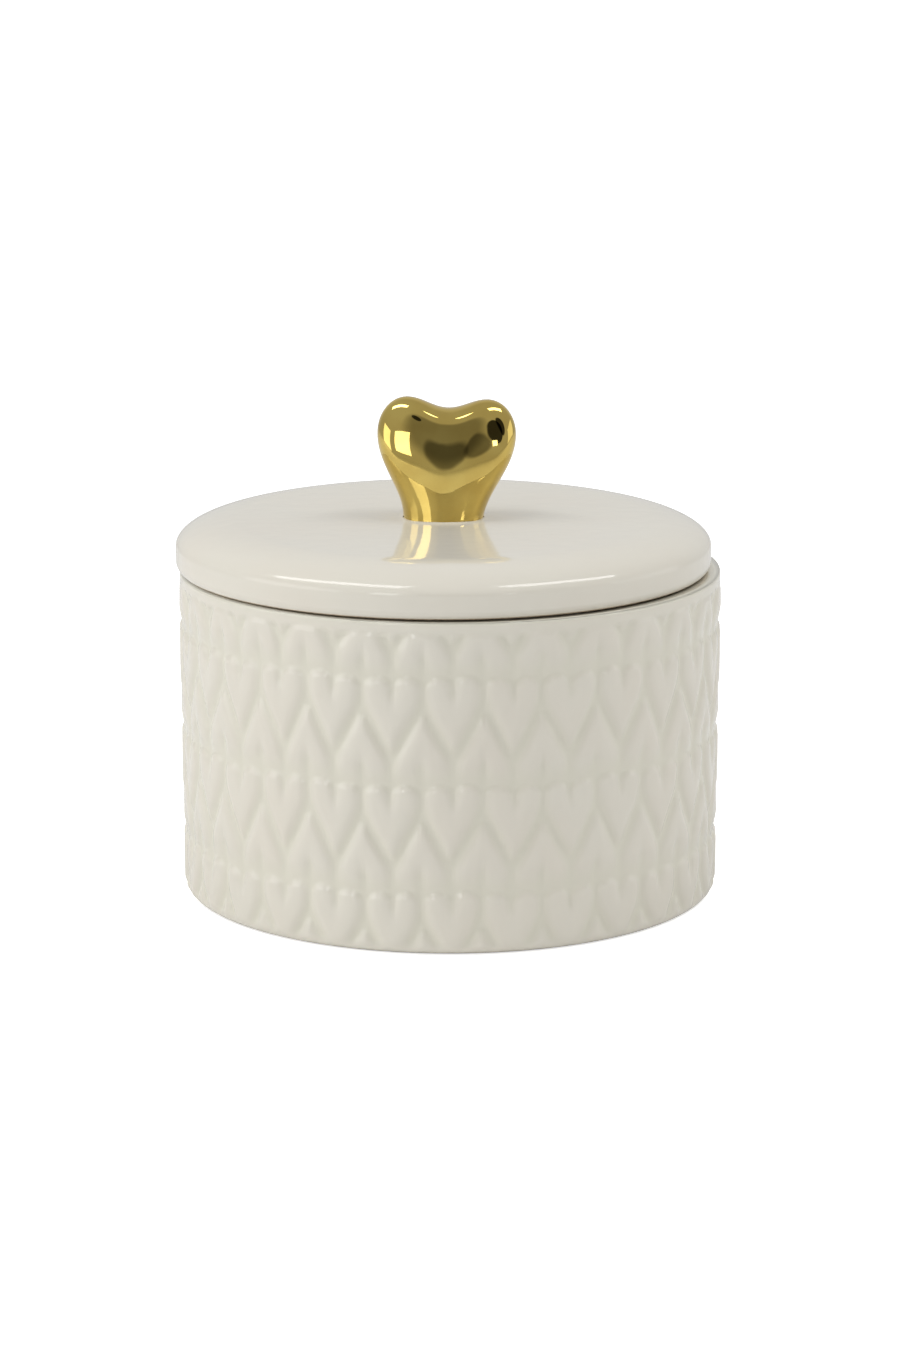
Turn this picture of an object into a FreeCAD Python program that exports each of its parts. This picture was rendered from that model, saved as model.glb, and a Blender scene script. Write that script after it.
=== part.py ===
import FreeCAD, Part
import math
import os

import Sketcher

# A round glazed pot with a loose lid that carries a heart-shaped knob.
# Millimetres, +Z up. The origin is the centre of the pot's foot, on its own axis.

SIZES = {
    # pot
    "pot_radius": 50.0,
    "base_radius": 49.5,
    "pot_height": 60.0,
    "mouth_radius": 45.4,
    "floor_height": 5.0,
    "foot_inner": 43.0,
    "foot_recess": 1.0,
    "base_round": 2.2,
    "rim_outer_round": 0.8,
    "rim_inner_round": 1.5,
    "floor_round": 6.0,
    "foot_round": 0.5,
    # lid
    "lid_gap": 0.3,
    "lid_shift": -1.2,
    "lid_radius": 49.2,
    "lid_height": 8.9,
    "crown_inset": 6.3,
    "crown_drop": 2.5,
    "crown_wall": 4.6,
    "ring_outer": 43.6,
    "ring_inner": 40.4,
    "ring_depth": 5.5,
    "side_round": 3.0,
    "top_round": 20.0,
    "under_round": 2.5,
    "ring_round": 1.2,
    "hollow_round": 3.0,
    # knob
    "lobe_radius": 6.2,
    "lobe_offset": 6.5,
    "lobe_height": 15.95,
    "cleft_height": 20.4,
    "foot_half_width": 7.5,
    "knob_thickness": 13.0,
    "knob_lean": 2.2,
    "knob_trim": 1.5,
    "trim_radius": 20.0,
    "trim_depth": 6.0,
    "knob_round": 3.6,
}

TOLERANCE = 0.01

# The arc between the lobes is tangent to both and passes through the cleft.
CLEFT_RISE = "(sizes.cleft_height - sizes.lobe_height)"
CLEFT_RADIUS = (
    f"(sizes.lobe_offset^2 + {CLEFT_RISE}^2 - sizes.lobe_radius^2)"
    f" / (2 * (sizes.lobe_radius - {CLEFT_RISE}))"
)


def fill_sheet(doc):
    """Put the driving sizes into the document's spreadsheet."""
    sheet = doc.addObject("Spreadsheet::Sheet", "sizes")
    for row, (alias, value) in enumerate(SIZES.items(), start=1):
        sheet.set(f"A{row}", alias)
        sheet.set(f"B{row}", str(value))
        sheet.setAlias(f"B{row}", alias)
    return sheet


def origin_plane(body, role):
    """Give the body's own origin plane of that role."""
    for feature in body.Origin.OriginFeatures:
        if feature.Role == role:
            return feature
    raise ValueError(role)


def new_sketch(body, name, role):
    """Start a sketch on one of the body's own origin planes."""
    sketch = body.newObject("Sketcher::SketchObject", name)
    sketch.AttachmentSupport = [(origin_plane(body, role), "")]
    sketch.MapMode = "FlatFace"
    return sketch


def bind_distance(sketch, kind, geometry, point, value, expression, name):
    """Hold one coordinate of a sketch point at an expression."""
    index = sketch.addConstraint(Sketcher.Constraint(kind, -1, 1, geometry, point, value))
    sketch.renameConstraint(index, name)
    sketch.setExpression(f"Constraints.{name}", expression)


def bind_radius(sketch, geometry, value, expression, name):
    """Hold the radius of an arc at an expression."""
    index = sketch.addConstraint(Sketcher.Constraint("Radius", geometry, value))
    sketch.renameConstraint(index, name)
    sketch.setExpression(f"Constraints.{name}", expression)


def evaluate(expression):
    """Work out an expression of sheet aliases, for a sketch's first guess."""
    total = 0.0
    for term in expression.replace("- ", "+ -").split("+ "):
        term = term.strip()
        sign = -1.0 if term.startswith("-") else 1.0
        total += sign * SIZES[term.lstrip("-").strip().removeprefix("sizes.")]
    return total


def profile_sketch(body, name, corners):
    """Draw a closed profile whose corners are pairs of expressions, None on an axis."""
    sketch = new_sketch(body, name, "XZ_Plane")
    points = []
    for across, up in corners:
        x = evaluate(across) if across else 0.0
        z = evaluate(up) if up else 0.0
        points.append(FreeCAD.Vector(x, z, 0))
    count = len(points)
    for i in range(count):
        sketch.addGeometry(Part.LineSegment(points[i], points[(i + 1) % count]), False)
    for i in range(count):
        sketch.addConstraint(Sketcher.Constraint("Coincident", i, 2, (i + 1) % count, 1))
    for i, (across, up) in enumerate(corners):
        if across:
            bind_distance(sketch, "DistanceX", i, 1, points[i].x, across, f"across{i}")
        else:
            sketch.addConstraint(Sketcher.Constraint("PointOnObject", i, 1, -2))
        if up:
            bind_distance(sketch, "DistanceY", i, 1, points[i].y, up, f"up{i}")
        else:
            sketch.addConstraint(Sketcher.Constraint("PointOnObject", i, 1, -1))
    return sketch


def revolve(body, sketch, name):
    """Turn a profile all the way round the body's vertical axis."""
    turned = body.newObject("PartDesign::Revolution", name)
    turned.Profile = sketch
    turned.ReferenceAxis = (sketch, ["V_Axis"])
    turned.Angle = 360.0
    sketch.Visibility = False
    return turned


def ring_edge(shape, radius, height):
    """Name the full circle of that radius and height."""
    for number, edge in enumerate(shape.Edges, start=1):
        curve = edge.Curve
        if not isinstance(curve, Part.Circle):
            continue
        same_radius = abs(curve.Radius - radius) < TOLERANCE
        if same_radius and abs(curve.Center.z - height) < TOLERANCE:
            return f"Edge{number}"
    raise ValueError(f"no ring of radius {radius} at height {height}")


def round_rings(body, first, rings):
    """Fillet a list of rings, each given as radius, height and the size's alias."""
    last = first
    for radius, height, size in rings:
        edge = ring_edge(last.Shape, radius, height)
        fillet = body.newObject("PartDesign::Fillet", f"{body.Name}_{size}")
        fillet.Base = (last, [edge])
        fillet.setExpression("Radius", f"sizes.{size}")
        body.Document.recompute()
        last = fillet


def make_pot(doc):
    """The pot: one turned wall with a floor, a foot ring and a rounded rim."""
    body = doc.addObject("PartDesign::Body", "pot_body")
    body.Label = "pot_body"
    corners = [
        (None, "sizes.foot_recess"),
        ("sizes.foot_inner", "sizes.foot_recess"),
        ("sizes.foot_inner", None),
        ("sizes.base_radius", None),
        ("sizes.pot_radius", "sizes.pot_height"),
        ("sizes.mouth_radius", "sizes.pot_height"),
        ("sizes.mouth_radius", "sizes.floor_height"),
        (None, "sizes.floor_height"),
    ]
    sketch = profile_sketch(body, "pot_profile", corners)
    turned = revolve(body, sketch, "pot_wall")
    doc.recompute()
    rings = [
        (SIZES["base_radius"], 0.0, "base_round"),
        (SIZES["pot_radius"], SIZES["pot_height"], "rim_outer_round"),
        (SIZES["mouth_radius"], SIZES["pot_height"], "rim_inner_round"),
        (SIZES["mouth_radius"], SIZES["floor_height"], "floor_round"),
        (SIZES["foot_inner"], 0.0, "foot_round"),
    ]
    round_rings(body, turned, rings)
    return body


def make_lid(doc):
    """The lid: a soft-edged disc, hollow below, with a ring that drops into the mouth."""
    body = doc.addObject("PartDesign::Body", "lid")
    body.Label = "lid"
    corners = [
        (None, "sizes.lid_height - sizes.crown_wall"),
        ("sizes.ring_inner", "sizes.lid_height - sizes.crown_wall"),
        ("sizes.ring_inner", "-sizes.ring_depth"),
        ("sizes.ring_outer", "-sizes.ring_depth"),
        ("sizes.ring_outer", None),
        ("sizes.lid_radius", None),
        ("sizes.lid_radius", "sizes.lid_height - sizes.crown_drop"),
        ("sizes.lid_radius - sizes.crown_inset", "sizes.lid_height"),
        (None, "sizes.lid_height"),
    ]
    sketch = profile_sketch(body, "lid_profile", corners)
    turned = revolve(body, sketch, "lid_disc")
    doc.recompute()
    ceiling = SIZES["lid_height"] - SIZES["crown_wall"]
    rings = [
        (SIZES["lid_radius"], 0.0, "under_round"),
        (SIZES["lid_radius"], SIZES["lid_height"] - SIZES["crown_drop"], "side_round"),
        (SIZES["lid_radius"] - SIZES["crown_inset"], SIZES["lid_height"], "top_round"),
        (SIZES["ring_outer"], -SIZES["ring_depth"], "ring_round"),
        (SIZES["ring_inner"], -SIZES["ring_depth"], "ring_round"),
        (SIZES["ring_inner"], ceiling, "hollow_round"),
    ]
    round_rings(body, turned, rings)
    body.setExpression("Placement.Base.x", "sizes.lid_shift")
    body.setExpression("Placement.Base.z", "sizes.pot_height + sizes.lid_gap")
    return body


def cleft_radius():
    """Radius of the arc between the lobes that is tangent to both and passes the cleft."""
    rise = SIZES["cleft_height"] - SIZES["lobe_height"]
    offset = SIZES["lobe_offset"]
    lobe = SIZES["lobe_radius"]
    return (offset ** 2 + rise ** 2 - lobe ** 2) / (2.0 * (lobe - rise))


def heart_sketch(body):
    """The heart's outline: two lobes, a cleft between them and straight sides to a foot."""
    sketch = new_sketch(body, "heart_outline", "XZ_Plane")
    lobe = SIZES["lobe_radius"]
    offset = SIZES["lobe_offset"]
    high = SIZES["lobe_height"]
    cleft = cleft_radius()
    cleft_centre = SIZES["cleft_height"] + cleft
    meet = math.atan2(cleft_centre - high, -offset)
    low = -SIZES["knob_trim"]
    foot = SIZES["foot_half_width"]
    reach = math.hypot(foot - offset, high - low)
    side = math.atan2(low - high, foot - offset) + math.acos(lobe / reach)
    touch_x = offset + lobe * math.cos(side)
    touch_z = high + lobe * math.sin(side)
    normal = FreeCAD.Vector(0, 0, 1)

    def arc(centre_x, centre_z, radius, start, end):
        circle = Part.Circle(FreeCAD.Vector(centre_x, centre_z, 0), normal, radius)
        return sketch.addGeometry(Part.ArcOfCircle(circle, start, end), False)

    def line(x0, z0, x1, z1):
        start = FreeCAD.Vector(x0, z0, 0)
        return sketch.addGeometry(Part.LineSegment(start, FreeCAD.Vector(x1, z1, 0)), False)

    right_lobe = arc(offset, high, lobe, side, meet)
    left_lobe = arc(-offset, high, lobe, math.pi - meet, math.pi - side)
    valley = arc(0.0, cleft_centre, cleft, meet - math.pi, -meet)
    right_side = line(foot, low, touch_x, touch_z)
    left_side = line(-foot, low, -touch_x, touch_z)
    sole = line(-foot, low, foot, low)

    tie = sketch.addConstraint
    tie(Sketcher.Constraint("Tangent", right_side, 2, right_lobe, 1))
    tie(Sketcher.Constraint("Tangent", left_side, 2, left_lobe, 2))
    tie(Sketcher.Constraint("Tangent", right_lobe, 2, valley, 2))
    tie(Sketcher.Constraint("Tangent", left_lobe, 1, valley, 1))
    tie(Sketcher.Constraint("Coincident", sole, 1, left_side, 1))
    tie(Sketcher.Constraint("Coincident", sole, 2, right_side, 1))
    tie(Sketcher.Constraint("Equal", right_lobe, left_lobe))
    tie(Sketcher.Constraint("Symmetric", right_lobe, 3, left_lobe, 3, -2))
    tie(Sketcher.Constraint("Symmetric", sole, 1, sole, 2, -2))
    bind_distance(sketch, "DistanceX", right_lobe, 3, offset, "sizes.lobe_offset", "offset")
    bind_distance(sketch, "DistanceY", right_lobe, 3, high, "sizes.lobe_height", "high")
    bind_distance(sketch, "DistanceX", sole, 2, foot, "sizes.foot_half_width", "foot")
    bind_distance(sketch, "DistanceY", sole, 2, low, "-sizes.knob_trim", "low")
    bind_radius(sketch, right_lobe, lobe, "sizes.lobe_radius", "lobe")
    bind_radius(sketch, valley, cleft, CLEFT_RADIUS, "cleft")
    return sketch


def outline_edges(shape, half_thickness):
    """Name the edges of the front and back faces, less the two along the sole."""
    names = []
    for number, edge in enumerate(shape.Edges, start=1):
        middle = edge.CenterOfMass
        on_face = abs(abs(middle.y) - half_thickness) < TOLERANCE
        if on_face and middle.z > TOLERANCE:
            names.append(f"Edge{number}")
    return names


def make_knob(doc):
    """The knob: a thick heart, rounded all round, that leans a little on a flat sole."""
    body = doc.addObject("PartDesign::Body", "heart_knob")
    body.Label = "heart_knob"
    outline = heart_sketch(body)
    outline.setExpression(".AttachmentOffset.Rotation.Angle", "-sizes.knob_lean")
    doc.recompute()
    pad = body.newObject("PartDesign::Pad", "heart_block")
    pad.Profile = outline
    pad.Midplane = True
    pad.setExpression("Length", "sizes.knob_thickness")
    doc.recompute()
    half = SIZES["knob_thickness"] / 2.0
    soft = body.newObject("PartDesign::Fillet", "heart_round")
    soft.Base = (pad, outline_edges(pad.Shape, half))
    soft.setExpression("Radius", "sizes.knob_round")
    doc.recompute()
    below = new_sketch(body, "below_sole", "XY_Plane")
    size = SIZES["trim_radius"]
    circle = Part.Circle(FreeCAD.Vector(0, 0, 0), FreeCAD.Vector(0, 0, 1), size)
    below.addGeometry(circle, False)
    below.addConstraint(Sketcher.Constraint("Coincident", 0, 3, -1, 1))
    bind_radius(below, 0, size, "sizes.trim_radius", "reach")
    trim = body.newObject("PartDesign::Pocket", "flat_sole")
    trim.Profile = below
    trim.setExpression("Length", "sizes.trim_depth")
    doc.recompute()
    if trim.Shape.Volume >= soft.Shape.Volume:
        raise RuntimeError("flat_sole cut nothing")
    body.setExpression("Placement.Base.x", "sizes.lid_shift")
    body.setExpression("Placement.Base.z", "sizes.pot_height + sizes.lid_gap + sizes.lid_height")
    return body


def check(doc):
    """Stop on any feature that failed or any solid that isn't sound."""
    for item in doc.Objects:
        bad = [state for state in item.State if state in ("Invalid", "Error")]
        if bad:
            raise RuntimeError(f"{item.Name}: {bad}")
        shape = getattr(item, "Shape", None)
        if shape is not None and (shape.isNull() or not shape.isValid()):
            raise RuntimeError(f"{item.Name}: the shape isn't sound")


def main():
    doc = FreeCAD.newDocument("trinket_pot")
    fill_sheet(doc)
    doc.recompute()
    pieces = [make_pot(doc), make_lid(doc), make_knob(doc)]
    doc.recompute()
    check(doc)
    os.makedirs("parts", exist_ok=True)
    for piece in pieces:
        piece.Shape.exportStep(f"parts/{piece.Label}.step")


main()
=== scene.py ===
"""Looks of a round glazed trinket pot with embossed hearts and a gold heart knob.

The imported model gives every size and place. Lengths are in metres, +Z up, -Y towards the viewer.
"""

import logging
import math
from dataclasses import dataclass, field
from enum import Enum

import bmesh
import bpy
import numpy as np
from mathutils import Euler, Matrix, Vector


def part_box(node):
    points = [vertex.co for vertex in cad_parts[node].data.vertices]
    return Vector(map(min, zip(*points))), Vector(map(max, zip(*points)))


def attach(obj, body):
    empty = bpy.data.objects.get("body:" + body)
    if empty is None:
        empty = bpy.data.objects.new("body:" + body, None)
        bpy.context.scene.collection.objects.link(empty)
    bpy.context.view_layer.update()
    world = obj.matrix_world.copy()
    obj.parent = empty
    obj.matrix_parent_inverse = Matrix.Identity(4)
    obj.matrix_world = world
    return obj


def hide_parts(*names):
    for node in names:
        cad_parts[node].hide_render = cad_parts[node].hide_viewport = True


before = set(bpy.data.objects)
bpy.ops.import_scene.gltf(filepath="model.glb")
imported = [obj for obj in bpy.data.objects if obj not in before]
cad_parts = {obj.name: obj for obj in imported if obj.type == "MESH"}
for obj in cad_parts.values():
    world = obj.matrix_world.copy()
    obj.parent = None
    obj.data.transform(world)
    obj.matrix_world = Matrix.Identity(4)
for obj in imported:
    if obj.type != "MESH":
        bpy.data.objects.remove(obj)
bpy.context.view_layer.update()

logging.basicConfig(level=logging.INFO, format="%(name)s: %(message)s")
log = logging.getLogger("trinket_pot")

MM = 0.001
SAME_POINT = 1e-7
WELD_GAP = 1e-6


# ----------------------------------------------------------------------------------------------
# Small shared mathematics


def smoothstep(low: float, high: float, value: np.ndarray) -> np.ndarray:
    """Rise smoothly from 0 to 1.

    Formula: t = (value - low) / (high - low) held within 0 and 1, then 3 t squared minus 2 t cubed.

    Args:
        low: value where the rise starts.
        high: value where it ends.
        value: array of values.

    Returns:
        Array of shares from 0 to 1.
    """
    share = np.clip((value - low) / (high - low), 0.0, 1.0)
    return share * share * (3.0 - 2.0 * share)


def soft_min(first: np.ndarray, second: np.ndarray, blend: float) -> np.ndarray:
    """Lower of two fields with a rounded join.

    Formula: the plain minimum, less the blend width times a quarter of the squared overlap share.

    Args:
        first: one field.
        second: the other field.
        blend: width of the rounded join, in the fields' own unit.

    Returns:
        Rounded minimum of the two.
    """
    overlap = np.clip(blend - np.abs(first - second), 0.0, None) / blend
    return np.minimum(first, second) - overlap * overlap * blend * 0.25


def fold(value: np.ndarray, pitch: float) -> np.ndarray:
    """Distance from the nearest multiple of the pitch, always positive."""
    return np.abs(value - pitch * np.round(value / pitch))


def blur(values: np.ndarray, spread: float, axis: int, wrap: bool) -> np.ndarray:
    """Soften an array along one axis with a bell-shaped weight.

    Formula: each value becomes the mean of its neighbours weighted by exp(-step squared / 2 spread
    squared).

    Args:
        values: array to soften.
        spread: standard deviation, in samples.
        axis: axis to soften along.
        wrap: True if the array closes on itself along that axis.

    Returns:
        Softened array.
    """
    reach = int(math.ceil(3.0 * spread))
    steps = np.arange(-reach, reach + 1)
    weights = np.exp(-0.5 * (steps / spread) ** 2)
    weights /= weights.sum()
    count = values.shape[axis]
    total = np.zeros_like(values)
    for step, weight in zip(steps, weights):
        index = np.arange(count) + step
        index = index % count if wrap else np.clip(index, 0, count - 1)
        total += weight * np.take(values, index, axis=axis)
    return total


def quarter_turn(
    centre: tuple[float, float], across: float, up: float, start: float, end: float, count: int
) -> np.ndarray:
    """Points of an elliptical arc in the profile plane.

    Formula: centre plus (across times cosine, up times sine) of an angle that runs evenly.

    Args:
        centre: radius and height of the arc's centre.
        across: half-axis along the radius.
        up: half-axis along the height.
        start: first angle in degrees, 0 pointing outwards and 90 up.
        end: last angle in degrees.
        count: number of points.

    Returns:
        Array of (radius, height) rows.
    """
    angle = np.radians(np.linspace(start, end, count))
    return np.stack([centre[0] + across * np.cos(angle), centre[1] + up * np.sin(angle)], axis=1)


def straight(start: tuple[float, float], end: tuple[float, float], count: int) -> np.ndarray:
    """Evenly spaced points of a straight run, both ends included."""
    share = np.linspace(0.0, 1.0, count)[:, None]
    return np.asarray(start) * (1.0 - share) + np.asarray(end) * share


def join_runs(runs: list[np.ndarray]) -> np.ndarray:
    """One profile out of several runs, less the points that repeat.

    Formula: a point stays when its distance from the point before it is more than a hair.

    Args:
        runs: arrays of (radius, height) rows, in order.

    Returns:
        Array of (radius, height) rows.
    """
    profile = np.concatenate(runs)
    step = np.hypot(*np.diff(profile, axis=0).T)
    keep = np.concatenate([[True], step > SAME_POINT])
    return profile[keep]


def closed_mesh(name: str, grid: np.ndarray, first: np.ndarray, last: np.ndarray) -> bpy.types.Object:
    """Close a tube-like grid with a point at each end and make an object of it.

    Formula: row i and column j give one point; columns close on themselves; a fan joins the first
    row to one pole and the last row to the other.

    Args:
        name: name of the object.
        grid: array of rows by columns by 3. Columns run anticlockwise seen from the first pole's
            outside when rows run away from it.
        first: point of the first pole.
        last: point of the last pole.

    Returns:
        The new object, smooth shaded, linked to the scene.
    """
    rows, columns, _ = grid.shape
    index = np.arange(rows * columns).reshape(rows, columns)
    after = np.roll(index, -1, axis=1)
    quads = np.stack([index[:-1], after[:-1], after[1:], index[1:]], axis=-1).reshape(-1, 4)
    pole_a = rows * columns
    pole_b = pole_a + 1
    fan_a = np.stack([np.full(columns, pole_a), after[0], index[0]], axis=1)
    fan_b = np.stack([np.full(columns, pole_b), index[-1], after[-1]], axis=1)
    points = np.concatenate([grid.reshape(-1, 3), [first, last]])
    mesh = bpy.data.meshes.new(name)
    mesh.from_pydata(points.tolist(), [], quads.tolist() + fan_a.tolist() + fan_b.tolist())
    mesh.polygons.foreach_set("use_smooth", np.ones(len(mesh.polygons), dtype=bool))
    mesh.update()
    piece = bpy.data.objects.new(name, mesh)
    bpy.context.scene.collection.objects.link(piece)
    return piece


def store_attribute(piece: bpy.types.Object, name: str, values: np.ndarray) -> None:
    """Keep one number for each vertex of a piece under a name that its material reads.

    Args:
        piece: the piece.
        name: name of the attribute.
        values: one number for each vertex.
    """
    attribute = piece.data.attributes.new(name, "FLOAT", "POINT")
    attribute.data.foreach_set("value", values.astype(np.float32))


# ----------------------------------------------------------------------------------------------
# Finishes


class Finish(Enum):
    """The finishes of the pot, by name."""

    EMBOSSED_GLAZE = "embossed_glaze"
    SMOOTH_GLAZE = "smooth_glaze"
    # Bare clay: the unglazed foot and seat; at the lid's seat also painted shade in the seam between
    # lid and pot.
    BARE_CLAY_AND_SEAM_SHADE = "bare_clay_and_seam_shade"
    GOLD_LUSTRE = "gold_lustre"


Colour = tuple[float, float, float]
Span = tuple[float, float]


@dataclass
class Shader:
    """A new material with helpers that add and join its nodes."""

    name: str
    material: bpy.types.Material = field(init=False)

    def __post_init__(self) -> None:
        """Make the material and keep only its surface shader."""
        self.material = bpy.data.materials.new(self.name)
        self.material.use_nodes = True
        self.nodes = self.material.node_tree.nodes
        self.links = self.material.node_tree.links
        self.surface = self.nodes["Principled BSDF"]
        self.place = self.add("ShaderNodeTexCoord").outputs["Object"]

    def add(self, kind: str, **settings: object) -> bpy.types.Node:
        """Add a node of a kind, with its properties set.

        Args:
            kind: Blender's name of the node type.
            **settings: properties and their values.

        Returns:
            The new node.
        """
        node = self.nodes.new(kind)
        for key, value in settings.items():
            setattr(node, key, value)
        return node

    def noise(self, scale: float, detail: float, roughness: float = 0.5) -> bpy.types.NodeSocket:
        """Cloudy pattern on the piece's own coordinates, about 0.5 on average.

        Args:
            scale: cycles in a metre.
            detail: number of finer layers.
            roughness: weight of the finer layers.

        Returns:
            The pattern's socket.
        """
        node = self.add("ShaderNodeTexNoise")
        node.inputs["Scale"].default_value = scale
        node.inputs["Detail"].default_value = detail
        node.inputs["Roughness"].default_value = roughness
        self.links.new(self.place, node.inputs["Vector"])
        return node.outputs["Fac"]

    def attribute(self, name: str) -> bpy.types.NodeSocket:
        """The number that the mesh keeps for each vertex under a name."""
        return self.add("ShaderNodeAttribute", attribute_name=name).outputs["Fac"]

    def remap(
        self, source: bpy.types.NodeSocket, span: Span, result: Span
    ) -> bpy.types.NodeSocket:
        """Carry a socket from one span to another, held at both ends.

        Args:
            source: socket to read.
            span: values that become the first and the last result.
            result: first and last result.

        Returns:
            Socket of the result.
        """
        node = self.add("ShaderNodeMapRange")
        values = {"From Min": span[0], "From Max": span[1], "To Min": result[0], "To Max": result[1]}
        for key, value in values.items():
            node.inputs[key].default_value = value
        self.links.new(source, node.inputs["Value"])
        return node.outputs["Result"]

    def mix(
        self,
        share: bpy.types.NodeSocket,
        first: Colour | bpy.types.NodeSocket,
        second: Colour | bpy.types.NodeSocket,
    ) -> bpy.types.NodeSocket:
        """Blend two colours, each a fixed colour or a socket.

        Args:
            share: socket, 0 for the first and 1 for the second.
            first: colour or socket.
            second: colour or socket.

        Returns:
            Socket of the blended colour.
        """
        node = self.add("ShaderNodeMix", data_type="RGBA")
        self.links.new(share, node.inputs["Factor"])
        for socket, value in ((node.inputs[6], first), (node.inputs[7], second)):
            if isinstance(value, bpy.types.NodeSocket):
                self.links.new(value, socket)
            else:
                socket.default_value = (*value, 1.0)
        return node.outputs[2]

    def bump(self, height: bpy.types.NodeSocket, distance: float, strength: float) -> None:
        """Tilt the surface by a height pattern.

        Args:
            height: socket of the pattern.
            distance: height of the pattern from 0 to 1, in metres.
            strength: share of the tilt that is used.
        """
        node = self.add("ShaderNodeBump")
        node.inputs["Distance"].default_value = distance
        node.inputs["Strength"].default_value = strength
        self.links.new(height, node.inputs["Height"])
        self.links.new(node.outputs["Normal"], self.surface.inputs["Normal"])

    def colour(self, source: bpy.types.NodeSocket) -> None:
        """Use a socket as the surface's colour."""
        self.links.new(source, self.surface.inputs["Base Color"])

    def roughness(self, source: bpy.types.NodeSocket) -> None:
        """Use a socket as the surface's roughness."""
        self.links.new(source, self.surface.inputs["Roughness"])


@dataclass(frozen=True)
class CreamGlaze:
    """A glossy cream-white glaze, warmer where it runs thin and greener where it pools."""

    crest: Colour = (0.800, 0.765, 0.672)
    pool: Colour = (0.785, 0.758, 0.645)
    blush: Colour = (0.800, 0.752, 0.655)
    cloud_scale: float = 45.0
    cloud_layers: float = 3.0
    blush_span: Span = (0.42, 0.68)
    blush_share: Span = (0.0, 0.7)
    pool_span: Span = (0.0, 0.85)
    gloss_span: Span = (0.3, 0.7)
    gloss: Span = (0.045, 0.085)
    refraction: float = 1.52
    ripple_scale: float = 260.0
    ripple_layers: float = 2.0
    ripple_grain: float = 0.4
    ripple_height: float = 0.06 * MM
    ripple_strength: float = 0.5

    def make(self, finish: Finish) -> bpy.types.Material:
        """Build the glaze; the embossed one also reads the relief's height.

        Args:
            finish: which of the two glazes to build.

        Returns:
            The material.
        """
        shader = Shader(finish.value)
        clouds = shader.noise(self.cloud_scale, self.cloud_layers)
        blushed = shader.remap(clouds, self.blush_span, self.blush_share)
        base = shader.mix(blushed, self.crest, self.blush)
        if finish is Finish.EMBOSSED_GLAZE:
            pooled = shader.remap(shader.attribute("relief"), self.pool_span, (1.0, 0.0))
            base = shader.mix(pooled, base, self.pool)
        shader.colour(base)
        shader.roughness(shader.remap(clouds, self.gloss_span, self.gloss))
        shader.surface.inputs["IOR"].default_value = self.refraction
        ripple = shader.noise(self.ripple_scale, self.ripple_layers, self.ripple_grain)
        shader.bump(ripple, self.ripple_height, self.ripple_strength)
        return shader.material


@dataclass(frozen=True)
class BareClayAndSeamShade:
    """The unglazed clay of the foot ring and of the lid's seat: dry, warm and finely grained. At the
    lid's seat its dark brown is also painted shade that darkens the seam between lid and pot.
    """

    pale: Colour = (0.60, 0.49, 0.36)
    dark: Colour = (0.42, 0.32, 0.22)
    grain_scale: float = 1800.0
    grain_layers: float = 4.0
    grain_weight: float = 0.6
    colour_span: Span = (0.35, 0.65)
    dryness_span: Span = (0.3, 0.7)
    dryness: Span = (0.7, 0.92)
    grain_height: float = 0.12 * MM
    grain_strength: float = 0.6

    def make(self, finish: Finish) -> bpy.types.Material:
        """Build the clay.

        Args:
            finish: the finish, whose value names the material.

        Returns:
            The material.
        """
        shader = Shader(finish.value)
        grain = shader.noise(self.grain_scale, self.grain_layers, self.grain_weight)
        paleness = shader.remap(grain, self.colour_span, (0.0, 1.0))
        shader.colour(shader.mix(paleness, self.dark, self.pale))
        shader.roughness(shader.remap(grain, self.dryness_span, self.dryness))
        shader.bump(grain, self.grain_height, self.grain_strength)
        return shader.material


@dataclass(frozen=True)
class GoldLustre:
    """A mirror-bright gold lustre fired over glaze, with faint waves and cloudy patches."""

    bright: Colour = (0.72, 0.55, 0.16)
    deep: Colour = (0.62, 0.45, 0.12)
    cloud_scale: float = 130.0
    cloud_layers: float = 3.0
    colour_span: Span = (0.35, 0.65)
    shine_span: Span = (0.3, 0.7)
    shine: Span = (0.02, 0.05)
    wave_scale: float = 420.0
    wave_layers: float = 1.0
    wave_grain: float = 0.3
    wave_height: float = 0.03 * MM
    wave_strength: float = 0.35

    def make(self, finish: Finish) -> bpy.types.Material:
        """Build the lustre.

        Args:
            finish: the finish, whose value names the material.

        Returns:
            The material.
        """
        shader = Shader(finish.value)
        clouds = shader.noise(self.cloud_scale, self.cloud_layers)
        brightness = shader.remap(clouds, self.colour_span, (0.0, 1.0))
        shader.colour(shader.mix(brightness, self.deep, self.bright))
        shader.roughness(shader.remap(clouds, self.shine_span, self.shine))
        shader.surface.inputs["Metallic"].default_value = 1.0
        waves = shader.noise(self.wave_scale, self.wave_layers, self.wave_grain)
        shader.bump(waves, self.wave_height, self.wave_strength)
        return shader.material


MAKERS: dict[Finish, CreamGlaze | BareClayAndSeamShade | GoldLustre] = {
    Finish.EMBOSSED_GLAZE: CreamGlaze(),
    Finish.SMOOTH_GLAZE: CreamGlaze(),
    Finish.BARE_CLAY_AND_SEAM_SHADE: BareClayAndSeamShade(),
    Finish.GOLD_LUSTRE: GoldLustre(),
}

READY: dict[Finish, bpy.types.Material] = {}


def dress(piece: bpy.types.Object, finishes: list[Finish]) -> None:
    """Give a piece its material slots; each finish is made once and then shared.

    Args:
        piece: the piece.
        finishes: its finishes, in the order of the slots.
    """
    for finish in finishes:
        if finish not in READY:
            READY[finish] = MAKERS[finish].make(finish)
        piece.data.materials.append(READY[finish])


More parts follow.
